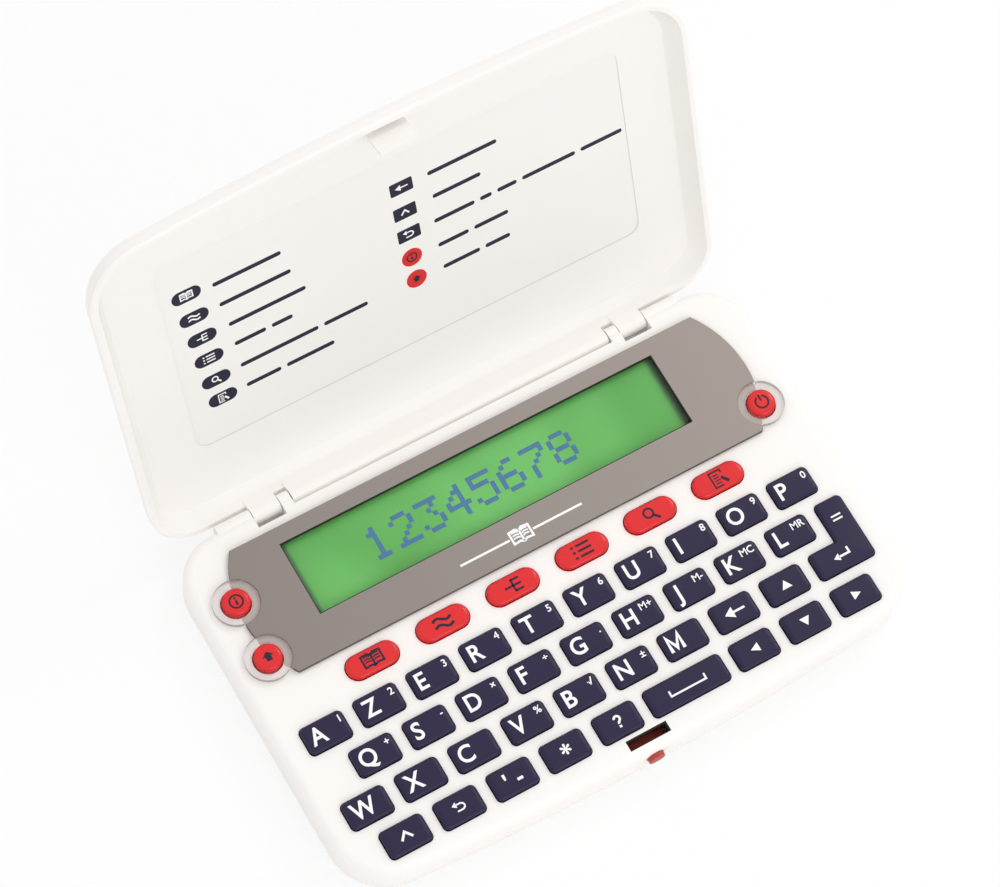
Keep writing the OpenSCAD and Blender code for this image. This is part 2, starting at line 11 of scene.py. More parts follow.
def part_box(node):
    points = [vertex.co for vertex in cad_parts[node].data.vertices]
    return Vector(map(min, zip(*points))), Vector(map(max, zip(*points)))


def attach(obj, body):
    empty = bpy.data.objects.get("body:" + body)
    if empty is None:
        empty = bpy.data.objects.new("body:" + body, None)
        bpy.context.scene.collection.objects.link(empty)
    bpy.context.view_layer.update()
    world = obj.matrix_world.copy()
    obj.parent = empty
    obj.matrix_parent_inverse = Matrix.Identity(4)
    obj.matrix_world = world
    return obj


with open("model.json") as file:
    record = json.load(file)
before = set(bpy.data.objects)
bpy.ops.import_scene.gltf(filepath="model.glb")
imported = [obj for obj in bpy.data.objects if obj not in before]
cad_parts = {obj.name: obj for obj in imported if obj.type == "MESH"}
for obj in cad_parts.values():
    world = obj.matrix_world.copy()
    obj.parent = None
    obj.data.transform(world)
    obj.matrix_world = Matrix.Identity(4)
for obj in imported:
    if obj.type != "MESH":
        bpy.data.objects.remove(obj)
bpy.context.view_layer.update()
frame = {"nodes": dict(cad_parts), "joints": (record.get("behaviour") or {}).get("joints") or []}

nodes = frame["nodes"]
MM = 0.001

# Case shells: two injection-moulded halves of warm white ABS and the battery door in the lower one.
# The mould is spark-eroded, so the skin is satin with a fine even grain. Screws join the halves from
# below, and a small groove marks the parting line.


def linear(hex_colour, alpha=1.0):
    """sRGB hex, as colours are written here, to the linear values that a shader takes."""
    channels = [int(hex_colour[i:i + 2], 16) / 255 for i in (1, 3, 5)]
    return [c / 12.92 if c <= 0.04045 else ((c + 0.055) / 1.055) ** 2.4 for c in channels] + [alpha]


def add_node(tree, kind, inputs=(), **settings):
    """Adds a shader node with its settings. Inputs map a socket to a value, or to the socket that
    feeds it."""
    node = tree.nodes.new(kind)
    for name, value in settings.items():
        setattr(node, name, value)
    for socket, value in dict(inputs).items():
        if isinstance(value, bpy.types.NodeSocket):
            tree.links.new(value, node.inputs[socket])
        else:
            node.inputs[socket].default_value = value
    return node


def moulded_plastic(name, colour, shade, rough=(0.38, 0.5), grain=0.35, relief=0.012, ior=1.53, drift=28):
    """Moulded plastic. Colour drifts towards shade over drift mm, as pigment does. Grain is the size in
    mm of the spark-eroded texture, drawn about twice as coarse as real so that it shows."""
    material = bpy.data.materials.new(name)
    material.use_nodes = True
    tree = material.node_tree
    shader = tree.nodes["Principled BSDF"]
    place = add_node(tree, "ShaderNodeTexCoord").outputs["Object"]
    pigment = add_node(tree, "ShaderNodeTexNoise",
                       {"Vector": place, "Scale": 1 / (drift * MM), "Detail": 2.0})
    mixed = add_node(tree, "ShaderNodeMix",
                     {0: pigment.outputs["Fac"], 6: linear(colour), 7: linear(shade)}, data_type="RGBA")
    skin = add_node(tree, "ShaderNodeTexNoise", {"Vector": place, "Scale": 1 / (grain * MM), "Detail": 3.0})
    sheen = add_node(tree, "ShaderNodeMapRange",
                     {"Value": skin.outputs["Fac"], "To Min": rough[0], "To Max": rough[1]})
    bump = add_node(tree, "ShaderNodeBump",
                    {"Height": skin.outputs["Fac"], "Strength": 0.6, "Distance": relief * MM})
    tree.links.new(mixed.outputs[2], shader.inputs["Base Color"])
    tree.links.new(sheen.outputs["Result"], shader.inputs["Roughness"])
    tree.links.new(bump.outputs["Normal"], shader.inputs["Normal"])
    shader.inputs["IOR"].default_value = ior
    return material


def dress(material, *names, angle=50, rounding=0, slack=0):
    """Gives CAD nodes their material, and shades their facets smooth except at edges over the angle.
    Rounding, in mm, breaks sharp edges as a mould does. Slack, in mm, keeps a face off its neighbour."""
    for name in names:
        node = nodes[name]
        mesh = node.data
        mesh.materials.clear()
        mesh.materials.append(material)
        for layer in ("custom_normal", "sharp_edge", "sharp_face"):
            if layer in mesh.attributes:
                mesh.attributes.remove(mesh.attributes[layer])
        mesh.polygons.foreach_set("use_smooth", [True] * len(mesh.polygons))
        weld = node.modifiers.new("weld", "WELD")
        weld.merge_threshold = 0.002 * MM
        if slack:
            inward = node.modifiers.new("slack", "DISPLACE")
            inward.strength = -slack * MM
            inward.mid_level = 0
        if rounding:
            edge = node.modifiers.new("rounding", "BEVEL")
            edge.width = rounding * MM
            edge.segments = 3
            edge.limit_method = "ANGLE"
            edge.angle_limit = math.radians(60)
            edge.use_clamp_overlap = False
        split = node.modifiers.new("edges", "EDGE_SPLIT")
        split.split_angle = math.radians(angle)
        split.use_edge_sharp = False
        flat = node.modifiers.new("flats", "WEIGHTED_NORMAL")
        flat.weight = 90


white_abs = moulded_plastic("white_abs_spark_eroded", "#fcf9f6", "#f9f5f1")
dress(white_abs, "top_case", "bottom_case", "battery_door", angle=34)

# Screws and hinge pins: zinc-plated steel. The screws are cold-formed, with pan heads that sit in the
# underside. The pins are lengths of drawn wire with a smooth bright skin.


def plated_steel(name, colour, rough, streak):
    """Plated steel, with streaks along X that are the drawn or rolled surface under the plating."""
    material = bpy.data.materials.new(name)
    material.use_nodes = True
    tree = material.node_tree
    shader = tree.nodes["Principled BSDF"]
    place = add_node(tree, "ShaderNodeTexCoord").outputs["Object"]
    along = add_node(tree, "ShaderNodeMapping", {"Vector": place, "Scale": (0.12, 1, 1)})
    lines = add_node(tree, "ShaderNodeTexNoise",
                     {"Vector": along.outputs["Vector"], "Scale": 1 / (streak * MM), "Detail": 4.0})
    polish = add_node(tree, "ShaderNodeMapRange",
                      {"Value": lines.outputs["Fac"], "To Min": rough - 0.08, "To Max": rough + 0.1})
    bump = add_node(tree, "ShaderNodeBump",
                    {"Height": lines.outputs["Fac"], "Strength": 0.4, "Distance": 0.004 * MM})
    tree.links.new(polish.outputs["Result"], shader.inputs["Roughness"])
    tree.links.new(bump.outputs["Normal"], shader.inputs["Normal"])
    shader.inputs["Base Color"].default_value = linear(colour)
    shader.inputs["Metallic"].default_value = 1.0
    return material


zinc_steel = plated_steel("zinc_plated_steel", "#c3c7cb", 0.32, 0.3)
dress(zinc_steel, "screws_and_pins")


def to_frame(x, y, z):
    """Places a flat drawing, in mm, on an upward face, with its origin at x, y and height z in mm."""
    return Matrix.Translation((x * MM, y * MM, z * MM)) @ Matrix.Scale(MM, 4)


def filled(outlines, thick):
    """Thin closed plate inside the outlines, in mm; an outline inside another is a hole."""
    curve = bpy.data.curves.new("outline", "CURVE")
    curve.dimensions = "2D"
    curve.fill_mode = "BOTH"
    curve.extrude = thick / 2
    for outline in outlines:
        spline = curve.splines.new("POLY")
        spline.points.add(len(outline) - 1)
        for point, (x, y) in zip(spline.points, outline):
            point.co = (x, y, 0, 1)
        spline.use_cyclic_u = True
    return as_mesh(curve)


def as_mesh(curve):
    """The finished mesh of a curve or text, which is then removed."""
    shape = bpy.data.objects.new("drawing", curve)
    bpy.context.scene.collection.objects.link(shape)
    bpy.context.view_layer.update()
    mesh = bpy.data.meshes.new_from_object(shape.evaluated_get(bpy.context.evaluated_depsgraph_get()))
    bpy.data.objects.remove(shape)
    return mesh


def ring(x, y, radius, sides=28, start=0.0, turn=360.0):
    """Points of an arc round x, y; a whole turn leaves out the repeated last point."""
    count = sides if turn == 360.0 else sides + 1
    return [(x + radius * math.cos(math.radians(start + turn * i / sides)),
             y + radius * math.sin(math.radians(start + turn * i / sides))) for i in range(count)]


def stroke(points, width):
    """Outline of a pen line of that width through the points, with square ends and mitred turns."""
    sides = ([], [])
    for i, (x, y) in enumerate(points):
        before = Vector((x, y)) - Vector(points[max(i - 1, 0)])
        after = Vector(points[min(i + 1, len(points) - 1)]) - Vector((x, y))
        ahead = ((before.normalized() if i else after.normalized())
                 + (after.normalized() if i < len(points) - 1 else before.normalized()))
        ahead.normalize()
        along = (after if i < len(points) - 1 else before).normalized()
        reach = width / 2 / max(0.5, ahead.dot(along))
        for side, sign in zip(sides, (1, -1)):
            side.append((x - sign * ahead.y * reach, y + sign * ahead.x * reach))
    return sides[0] + sides[1][::-1]


def plate(name, meshes, place, body, material):
    """Joins flat drawings into one thin piece, puts it in place and lets it ride on a body."""
    joined = bmesh.new()
    for mesh in meshes:
        joined.from_mesh(mesh)
    bmesh.ops.remove_doubles(joined, verts=joined.verts, dist=0.0005)
    joined.transform(place)
    mesh = bpy.data.meshes.new(name)
    joined.to_mesh(mesh)
    joined.free()
    mesh.materials.append(material)
    piece = bpy.data.objects.new(name, mesh)
    bpy.context.scene.collection.objects.link(piece)
    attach(piece, body)
    return piece


# Cross recesses of the four case screws: the dark crosses on the heads are painted shade, for the recesses'
# floors that little light reaches.
recess_painted_shade = moulded_plastic("painted_recess_shade", "#2b2c2e", "#1d1e20", rough=(0.6, 0.75))
cross = [(-1.0, 0.2), (-0.2, 0.2), (-0.2, 1.0), (0.2, 1.0), (0.2, 0.2), (1.0, 0.2),
         (1.0, -0.2), (0.2, -0.2), (0.2, -1.0), (-0.2, -1.0), (-0.2, -0.2), (-1.0, -0.2)]
cross_scale = 0.62
screw_places = ((-57.2, -30.0), (57.2, -30.0), (-55.2, 33.0), (55.2, 33.0))
crosses = [[(x + cross_scale * u, y + cross_scale * v) for u, v in cross] for x, y in screw_places]
head_face, recess_thick = 0.4, 0.06
plate("screw_recess_shade_crosses", [filled(crosses, recess_thick)], to_frame(0, 0, head_face), "base",
      recess_painted_shade)

# Circuit board, its parts and the cells: green solder mask over glass cloth, and nickel-plated cans.
# They show only through the latch slot or when the door is off.
solder_mask = moulded_plastic("green_solder_mask", "#2d7a4c", "#25683f", rough=(0.25, 0.4), grain=0.8)
dress(solder_mask, "circuit_board")
dress(plated_steel("nickel_plated_cell_cans", "#cfd3d6", 0.28, 0.25), "coin_cells")

# Key mat: a sheet of grey silicone rubber with a dome for each key, moulded in one shot.
# It gives a dull, slightly powdery grey.
dress(moulded_plastic("grey_silicone_rubber", "#c9c6cf", "#bcb9c4", rough=(0.6, 0.75), ior=1.41), "key_mat")

# Display: a reflective liquid crystal glass with a green rear sheet, under a clear lens. The green
# drifts a little in brightness, and each digit is made of small square blue dots.


def display_green(name):
    """Green rear sheet seen through the glass. Painted shade darkens its two ends, which lie in the shade
    of the window's walls.
    """
    material = bpy.data.materials.new(name)
    material.use_nodes = True
    tree = material.node_tree
    shader = tree.nodes["Principled BSDF"]
    place = add_node(tree, "ShaderNodeTexCoord").outputs["Object"]
    cloud = add_node(tree, "ShaderNodeTexNoise", {"Vector": place, "Scale": 1 / (22 * MM), "Detail": 1.0})
    ramp = add_node(tree, "ShaderNodeValToRGB", {"Fac": cloud.outputs["Fac"]})
    ramp.color_ramp.elements[0].position = 0.32
    ramp.color_ramp.elements[0].color = linear("#3ca226")
    ramp.color_ramp.elements[1].position = 0.68
    ramp.color_ramp.elements[1].color = linear("#5ebf51")
    axes = add_node(tree, "ShaderNodeSeparateXYZ", {"Vector": place})
    painted_end_shade = []
    for wall, lit, darkest in ((-41.9, -40.9, 0.35), (40.2, 38.4, 0.12)):
        painted_end_shade.append(add_node(tree, "ShaderNodeMapRange",
                             {"Value": axes.outputs["X"], "From Min": wall * MM, "From Max": lit * MM,
                              "To Min": darkest}, interpolation_type="SMOOTHSTEP").outputs["Result"])
    shade = add_node(tree, "ShaderNodeMath", {0: painted_end_shade[0], 1: painted_end_shade[1]}, operation="MULTIPLY")
    green_with_painted_shade = add_node(tree, "ShaderNodeVectorMath",
                      {0: ramp.outputs["Color"], "Scale": shade.outputs["Value"]}, operation="SCALE")
    tree.links.new(green_with_painted_shade.outputs["Vector"], shader.inputs["Base Color"])
    shader.inputs["Roughness"].default_value = 0.35
    shader.inputs["IOR"].default_value = 1.5
    return material


dress(display_green("green_reflective_display"), "lcd_module")

switched_dot = moulded_plastic("blue_switched_dots", "#0a63b0", "#0a5aa2", rough=(0.4, 0.5), grain=0.2)
DIGITS = {
    "1": "00100 01100 00100 00100 00100 00100 01110", "2": "01110 10001 00001 00010 00100 01000 11111",
    "3": "11111 00010 00100 00010 00001 10001 01110", "4": "00010 00110 01010 10010 11111 00010 00010",
    "5": "11111 10000 11110 00001 00001 10001 01110", "6": "00110 01000 10000 11110 10001 10001 01110",
    "7": "11111 00001 00010 00100 01000 01000 01000", "8": "01110 10001 10001 01110 10001 10001 01110"}
dot_pitch = 0.49
dot_side = 0.43
digit_step = 12
digits_left, digits_top = -27.8, 25.6
glass_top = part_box("lcd_module")[1].z / MM
square = [(0, 0), (dot_side, 0), (dot_side, dot_side), (0, dot_side)]
dots = []
for place, digit in enumerate("12345678"):
    for row, bits in enumerate(DIGITS[digit].split()):
        for column, bit in enumerate(bits):
            for right, down in ((0, 0), (1, 0), (0, 1), (1, 1)) if bit == "1" else ():
                x = (place * digit_step + column * 2 + right) * dot_pitch
                y = -(row * 2 + down) * dot_pitch
                dots.append([(x + u, y + v) for u, v in square])
plate("display_digits", [filled(dots, 0.04)], to_frame(digits_left, digits_top, glass_top + 0.02), "base",
      switched_dot)

# Window walls: a thin black frame lines the window from the lens up to the bezel's face. Its black is
# painted shade of the window's walls, the dark edge round the green.
window_wall_painted_shade = moulded_plastic("black_window_wall_painted_shade", "#121412", "#0c0e0c", rough=(0.6, 0.75))
window_low, window_high = (-42.5, 14.75), (40.4, 30.65)
wall_shade_width, wall_shade_height, wall_shade_middle = 0.12, 0.8, 10.45


def frame_shape(inset):
    """Corners of the window's outline, set in by that much."""
    left, low = window_low[0] + inset, window_low[1] + inset
    right, high = window_high[0] - inset, window_high[1] - inset
    return [(left, low), (right, low), (right, high), (left, high)]


wall_shade_frame = filled([frame_shape(0.01), frame_shape(wall_shade_width)], wall_shade_height)
plate("window_wall_shade_frame", [wall_shade_frame], to_frame(0, 0, wall_shade_middle), "base", window_wall_painted_shade)

# Clear pieces: the display lens and the three collars round the side keys, moulded in clear acrylic.
# The lens is polished. The collars have a slight milky veil, and painted shade makes their outer walls grey
# where they stand on the white case.


def clear_acrylic(name, colour, alpha, rough=(0.04, 0.12)):
    """Clear acrylic whose alpha is how much of its own colour shows on each face."""
    material = bpy.data.materials.new(name)
    material.use_nodes = True
    tree = material.node_tree
    shader = tree.nodes["Principled BSDF"]
    place = add_node(tree, "ShaderNodeTexCoord").outputs["Object"]
    veil = add_node(tree, "ShaderNodeTexNoise", {"Vector": place, "Scale": 1 / (9 * MM), "Detail": 2.0})
    haze = add_node(tree, "ShaderNodeMapRange",
                    {"Value": veil.outputs["Fac"], "To Min": rough[0], "To Max": rough[1]})
    tree.links.new(haze.outputs["Result"], shader.inputs["Roughness"])
    shader.inputs["Base Color"].default_value = linear(colour)
    shader.inputs["IOR"].default_value = 1.49
    shader.inputs["Alpha"].default_value = alpha
    return material


dress(clear_acrylic("clear_acrylic_lens", "#f4f6f4", 0.03), "lens_and_collars", slack=0.02)
clear_mesh = nodes["lens_and_collars"].data
clear_mesh.materials.append(clear_acrylic("clear_acrylic_collar", "#ffffff", 0.05, rough=(0.12, 0.2)))
clear_mesh.materials.append(clear_acrylic("clear_collar_wall_painted_shade", "#4a433e", 0.6, rough=(0.2, 0.3)))
# Beyond lens_end a face belongs to a collar. The bezel's round ends have end_radius about end_middle,
# and within bore_end of a collar's centre lies its bore. The first three are in mm.
lens_end, end_radius, end_middle = 46, 23.68, 32.27
bore_end = 4 * MM
bezel_low, bezel_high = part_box("display_bezel")
bezel_middle = (bezel_low.y + bezel_high.y) / 2 / MM
side_keys = [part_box(key) for key in ("key_help", "key_shift", "key_power")]
collar_centres = [(low + high) / 2 for low, high in side_keys]
for face in clear_mesh.polygons:
    x, y = face.center.x / MM, face.center.y / MM
    if abs(x) > lens_end:
        over_case = math.hypot(abs(x) - end_middle, y - bezel_middle) > end_radius
        past_bore = min((face.center - centre).xy.length for centre in collar_centres) > bore_end
        outer_wall = abs(face.normal.z) < 0.5 and past_bore
        # Outer walls that stand over the white case take the painted shade.
        face.material_index = 2 if outer_wall and over_case else 1

# Display bezel: a barrel-shaped plate of warm grey plastic with a satin painted front, glued on the top
# face. Painted light makes the paint paler to the right than to the left, and painted shade darkens its
# side walls.


def painted_grey(name):
    """Satin grey paint with a fine orange-peel skin. Painted light makes it pale from left to right across
    the bezel.
    """
    material = bpy.data.materials.new(name)
    material.use_nodes = True
    tree = material.node_tree
    shader = tree.nodes["Principled BSDF"]
    place = add_node(tree, "ShaderNodeTexCoord").outputs["Object"]
    axes = add_node(tree, "ShaderNodeSeparateXYZ", {"Vector": place})
    painted_light_across = add_node(tree, "ShaderNodeMapRange",
                      {"Value": axes.outputs["X"], "From Min": -56 * MM, "From Max": 56 * MM})
    ramp = add_node(tree, "ShaderNodeValToRGB", {"Fac": painted_light_across.outputs["Result"]})
    ramp.color_ramp.elements[0].color = linear("#8a817c")
    ramp.color_ramp.elements[1].color = linear("#9e938c")
    peel = add_node(tree, "ShaderNodeTexNoise", {"Vector": place, "Scale": 1 / (0.5 * MM), "Detail": 2.0})
    sheen = add_node(tree, "ShaderNodeMapRange",
                     {"Value": peel.outputs["Fac"], "To Min": 0.36, "To Max": 0.46})
    bump = add_node(tree, "ShaderNodeBump",
                    {"Height": peel.outputs["Fac"], "Strength": 0.5, "Distance": 0.008 * MM})
    tree.links.new(ramp.outputs["Color"], shader.inputs["Base Color"])
    tree.links.new(sheen.outputs["Result"], shader.inputs["Roughness"])
    tree.links.new(bump.outputs["Normal"], shader.inputs["Normal"])
    shader.inputs["IOR"].default_value = 1.5
    return material


bezel_paint = painted_grey("satin_grey_paint")
dress(bezel_paint, "display_bezel", rounding=0.15)
bezel_mesh = nodes["display_bezel"].data
side_wall_painted_shade = moulded_plastic("bezel_side_painted_shade", "#4b443f", "#443d38", rough=(0.45, 0.55))
bezel_mesh.materials.append(side_wall_painted_shade)
collar_reach = 5.3 * MM
# Side walls, except by the collars, take the painted shade.
for face in bezel_mesh.polygons:
    by_collar = any((face.center - centre).xy.length < collar_reach for centre in collar_centres)
    face.material_index = 1 if face.normal.z < 0.5 and not by_collar else 0

# Film under the collars: the grey runs on below each clear collar as a film, which fills the part of the
# collar's ring inside the bezel's outline. Its paler grey is painted light, for the light that the clear
# ring gathers over it.
film_grey_and_painted_light = moulded_plastic("grey_film_and_painted_light", "#c6bbb4", "#bdb2ab", rough=(0.4, 0.5))
ring_inner, ring_outer = 3.1, 4.65
film_step, film_least, film_thick, film_height = 3, 0.02, 0.04, 10.03
films = []
for (low, high), side in zip(side_keys, (-1, -1, 1)):
    x, y = (low.x + high.x) / 2 / MM, (low.y + high.y) / 2 / MM
    run = []
    for degree in range(0, 361, film_step):
        c, s = math.cos(math.radians(degree)), math.sin(math.radians(degree))
        dx, dy = x - side * end_middle, y - bezel_middle
        b = dx * c + dy * s
        gap = b * b - (dx * dx + dy * dy - end_radius ** 2)
        reach = -b + math.sqrt(gap) if gap > 0 else 0
        start = max(ring_inner, -b - math.sqrt(gap)) if gap > 0 else ring_outer
        stop = min(ring_outer, reach)
        if stop - start > film_least:
            run.append((degree, start, stop))
    for (d0, a0, b0), (d1, a1, b1) in zip(run, run[1:]):
        if d1 - d0 == film_step:
            films.append([(x + r * math.cos(math.radians(d)), y + r * math.sin(math.radians(d)))
                          for d, r in ((d0, a0), (d0, b0), (d1, b1), (d1, a1))])
plate("bezel_film_under_collars", [filled([film], film_thick) for film in films],
      to_frame(0, 0, film_height), "base", film_grey_and_painted_light)

# Printed marks: pad-printed ink, white on navy and grey, navy on red and on the legend. The keys carry
# single letters, digits and plain signs.


def ink(name, colour):
    """Pad-printing ink: matt, with the faint mottle that a silicone pad leaves."""
    return moulded_plastic(name, colour, colour, rough=(0.5, 0.62), grain=0.15, relief=0.004, ior=1.5)


white_ink = ink("white_pad_print", "#fdfdfd")
navy_ink = ink("navy_pad_print", "#140c2e")
red_ink = ink("red_pad_print", "#dc1a20")
# INK is a print's thickness in mm, and CAP_HEIGHT a capital's height in Blender's font at size 1.
INK = 0.03
CAP_HEIGHT = 0.682


def letters(text, x, y, height, bold=0.0, centred=True, width=1.0):
    """Text as a plate, in mm. x, y is its middle, or its left end and its middle height.
    Width below 1 makes the letters narrower."""
    curve = bpy.data.curves.new("letters", "FONT")
    curve.body = text
    curve.size = height / CAP_HEIGHT
    curve.offset = bold / 3
    curve.bevel_depth = bold
    curve.bevel_resolution = 0
    curve.extrude = INK / 2
    curve.resolution_u = 6
    mesh = as_mesh(curve)
    mesh.transform(Matrix.Diagonal((width, 1, INK / 2 / (INK / 2 + bold), 1)))
    xs = [v.co.x for v in mesh.vertices]
    left = (min(xs) + max(xs)) / 2 if centred else min(xs)
    mesh.transform(Matrix.Translation((x - left, y - height / 2, 0)))
    return mesh


def lines(*strokes):
    """Pen lines as plates: each is (points, width)."""
    return [filled([stroke(points, width)], INK) for points, width in strokes]


def hoop(x, y, radius, width, sides=32):
    """A thin ring as a plate."""
    return filled([ring(x, y, radius + width / 2, sides), ring(x, y, radius - width / 2, sides)], INK)


def shifted(outline, x, y, scale=1.0):
    """The outline at that scale, with its origin moved to x, y."""
    return [(x + scale * u, y + scale * v) for u, v in outline]


def sign(kind, x, y, s):
    """A plain sign of height about s mm, with its middle at x, y."""
    pen = 0.13 * s
    at = lambda points: shifted(points, x, y, s)
    if kind == "book":
        half = [(0, -0.42), (-0.2, -0.3), (-0.62, -0.34), (-0.62, 0.4), (-0.2, 0.44), (0, 0.3)]
        page = [(-0.1, 0.24), (-0.24, 0.32), (-0.5, 0.29)]
        marks = [(at(half), pen), (at([(-u, v) for u, v in half]), pen), (at([(0, -0.38), (0, 0.28)]), pen)]
        for drop in (0.0, 0.17, 0.34):
            for side in (1, -1):
                marks.append((at([(side * u, v - drop) for u, v in page]), pen * 0.7))
        return lines(*marks)
    if kind == "alike":
        wave = [(-0.6 + 0.1 * i, 0.13 * math.sin(i * math.pi / 6)) for i in range(13)]
        return lines((at([(u, v + 0.22) for u, v in wave]), pen * 1.3),
                     (at([(u, v - 0.22) for u, v in wave]), pen * 1.3))
    if kind == "branch":
        return lines((at([(-0.55, 0), (0.02, 0)]), pen), (at([(0.02, 0.42), (0.02, -0.42)]), pen),
                     (at([(0.02, 0.36), (0.55, 0.36)]), pen), (at([(0.02, -0.36), (0.55, -0.36)]), pen),
                     (at([(0.08, 0), (0.55, 0)]), pen))
    if kind == "list":
        rows = (0.36, 0, -0.36)
        return (lines(*((at([(-0.28, v), (0.62, v)]), pen * 1.1) for v in rows))
                + lines(*((at([(-0.62, v), (-0.45, v)]), pen * 1.1) for v in rows)))
    if kind == "lens":
        grip = lines((at([(0.13, -0.13), (0.46, -0.46)]), pen * 1.3))
        return [hoop(x - 0.1 * s, y + 0.1 * s, 0.3 * s, pen)] + grip
    if kind == "notepad":
        frame_line = [(0.12, -0.5), (-0.42, -0.5), (-0.42, 0.5), (0.34, 0.5), (0.34, 0.28)]
        marks = [(at(frame_line), pen * 0.8)]
        marks += [(at([(-0.26, v), (0.1, v)]), pen * 0.6) for v in (0.26, 0.08, -0.1, -0.28)]
        marks += [(at([(0.2, 0.02), (0.55, -0.42)]), pen * 1.6)]
        return lines(*marks)
    if kind == "info":
        dot = filled([at(ring(0, 0.24, 0.08, 12))], INK)
        return [hoop(x, y, 0.46 * s, pen), dot] + lines((at([(0, 0.08), (0, -0.27)]), pen * 1.2))
    if kind == "power":
        arc = ring(0, 0, 0.46, 26, 115, 310)
        return lines((at(arc), pen), (at([(0, 0.58), (0, 0.1)]), pen))
    if kind == "up":
        return [filled([at([(0, 0.5), (0.55, 0.02), (0.27, 0.02), (0.27, -0.42), (-0.27, -0.42),
                            (-0.27, 0.02), (-0.55, 0.02)])], INK)]
    if kind == "triangle_up":
        return [filled([at([(0, 0.42), (0.5, -0.38), (-0.5, -0.38)])], INK)]
    if kind == "triangle_down":
        return [filled([at([(0, -0.42), (-0.5, 0.38), (0.5, 0.38)])], INK)]
    if kind == "triangle_left":
        return [filled([at([(-0.45, 0), (0.4, -0.42), (0.4, 0.42)])], INK)]
    if kind == "triangle_right":
        return [filled([at([(0.45, 0), (-0.4, 0.42), (-0.4, -0.42)])], INK)]
    if kind == "arrow":
        return [filled([at([(-0.75, 0), (-0.1, -0.4), (-0.1, -0.075), (0.75, -0.075), (0.75, 0.075),
                            (-0.1, 0.075), (-0.1, 0.4)])], INK)]
    if kind == "caret":
        return lines((at([(-0.45, -0.25), (0, 0.3), (0.45, -0.25)]), pen * 1.4))
    if kind == "back":
        bend = [(-0.3, 0.3), (0.2, 0.3), (0.42, 0.18), (0.5, -0.02), (0.42, -0.22), (0.2, -0.34),
                (-0.4, -0.34)]
        head = filled([at([(-0.72, 0.3), (-0.26, 0.6), (-0.26, 0.0)])], INK)
        return lines((at(bend), pen * 1.2)) + [head]
    if kind == "em":
        legs = [(-0.38, -0.5), (-0.38, 0.46), (0, -0.32), (0.38, 0.46), (0.38, -0.5)]
        return lines((at(legs), pen * 1.6))
    if kind == "query":
        hook = ring(0, 0.26, 0.26, 16, 170, -230)
        return lines((at(hook + [(0.0, -0.1), (0.0, -0.2)]), pen * 1.5),
                     (at([(0, -0.34), (0, -0.55)]), pen * 1.7))
    if kind == "space":
        return lines((at([(-1.6, 0.22), (-1.6, -0.26), (1.6, -0.26), (1.6, 0.22)]), pen * 1.2))
    if kind == "return":
        head = filled([at([(-0.82, -0.1), (-0.3, 0.22), (-0.3, -0.42)])], INK)
        return lines((at([(0.62, 0.42), (0.62, -0.1), (-0.35, -0.1)]), pen * 1.4)) + [head]
    raise ValueError(kind)


# Print on the bezel below the window: white pad-printed ink, an open book between two short bars.
# ABOVE is the height of a print's middle over its face, so that a sixth of the ink lies in the face.
ABOVE = INK / 3
bezel_print_middle = (-0.9, 10.3)
bar_inner, bar_outer, bar_width = 2.6, 13.5, 0.45
trim_lines = lines(([(-bar_outer, 0), (-bar_inner, 0)], bar_width),
                   ([(bar_inner, 0), (bar_outer, 0)], bar_width))
plate("bezel_print", sign("book", 0, 0, 3.4) + trim_lines,
      to_frame(*bezel_print_middle, bezel_high.z / MM + ABOVE), "base", white_ink)

# Letter and sign keys: hard navy plastic caps with a bevelled edge, standing on one silicone mat.
# The print is a large white letter at the lower left and a small sign at the upper right.
navy_plastic = moulded_plastic("navy_key_plastic", "#18083b", "#150734", rough=(0.34, 0.46), grain=0.3,
                               relief=0.008, ior=1.46)
CAP_LEFT, CAP_RIGHT, LETTER_Y, SMALL_Y = -3.35, 3.55, 0.12, 1.25
LETTER, SMALL, BOLD = 3.3, 1.4, 0.065
calculator_signs = ("+", "-", "×", "÷", ".", "M+", "M-", "MC", "MR")
small_signs = dict(zip("azertyuiop", "1234567890")) | dict(zip("qsdfghjkl", calculator_signs))
small_signs |= {"v": "%", "b": "√", "n": "±"}


def key_middle(name):
    """Middle and top of a key, in mm."""
    low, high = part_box(name)
    return (low.x + high.x) / 2 / MM, (low.y + high.y) / 2 / MM, high.z / MM


def key_print(name, meshes, material, slot, x=None, y=None):
    """Print on a key's top, centred on the key's box unless x or y is given."""
    middle_x, middle_y, top = key_middle(name)
    place = to_frame(middle_x if x is None else x, middle_y if y is None else y, top + ABOVE)
    plate(name + "_print", meshes, place, name, material)


for letter in "azertyuiopqsdfghjklwxcvbnm":
    name = "key_" + letter
    dress(navy_plastic, name)
    marks = [letters(letter.upper(), CAP_LEFT, LETTER_Y, LETTER, BOLD, centred=False, width=0.94)]
    if letter == "m":
        # The font's M is too wide for the cap, so a narrower one is drawn.
        marks = sign("em", CAP_LEFT + 1.5, LETTER_Y, LETTER + BOLD)
    if letter in small_signs:
        small = letters(small_signs[letter], 0, SMALL_Y, SMALL, BOLD * 0.45)
        right = max(v.co.x for v in small.vertices)
        small.transform(Matrix.Translation((CAP_RIGHT - right, 0, 0)))
        marks.append(small)
    key_print(name, marks, white_ink, "navy_key")

